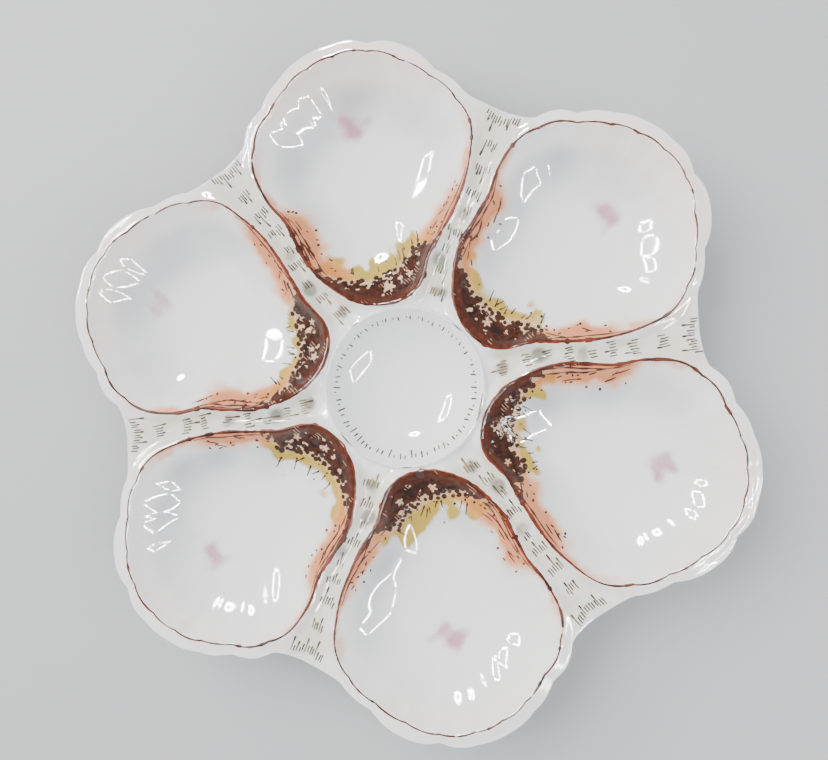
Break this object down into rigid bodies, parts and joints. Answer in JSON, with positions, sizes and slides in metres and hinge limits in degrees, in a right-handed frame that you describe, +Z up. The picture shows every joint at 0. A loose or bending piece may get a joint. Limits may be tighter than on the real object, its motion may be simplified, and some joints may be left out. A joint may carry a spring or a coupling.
{
  "type": "oyster plate",
  "caption": "Round lobed porcelain oyster plate: shell-shaped wells with enamelled crests round a central sauce well, on a turned foot ring.",
  "frame": {"origin": "centre of the foot ring, on the table that the plate rests on", "axes": "+Z up, out of the wells; +Y through the tip of the first lobe; six equal lobes round Z"},
  "size_m": [0.209, 0.229, 0.0238],
  "materials": {
    "glazed_porcelain": "white hard porcelain under a clear gloss glaze, tinted with enamel washes",
    "foot_bisque": "glazed sides with an unglazed, ground resting face",
    "line_enamel": "fired red-brown enamel line, slightly raised, glossy",
    "heel_enamel": "thick mottled dark brown enamel, glossy"
  },
  "bodies": {
    "root": {"porcelain_body": "glazed_porcelain", "foot_ring": "foot_bisque", "rim_line_1": "line_enamel", "rim_line_2": "line_enamel", "rim_line_3": "line_enamel", "rim_line_4": "line_enamel", "rim_line_5": "line_enamel", "rim_line_6": "line_enamel", "heel_enamel_1": "heel_enamel", "heel_enamel_2": "heel_enamel", "heel_enamel_3": "heel_enamel", "heel_enamel_4": "heel_enamel", "heel_enamel_5": "heel_enamel", "heel_enamel_6": "heel_enamel"}
  },
  "joints": []
}
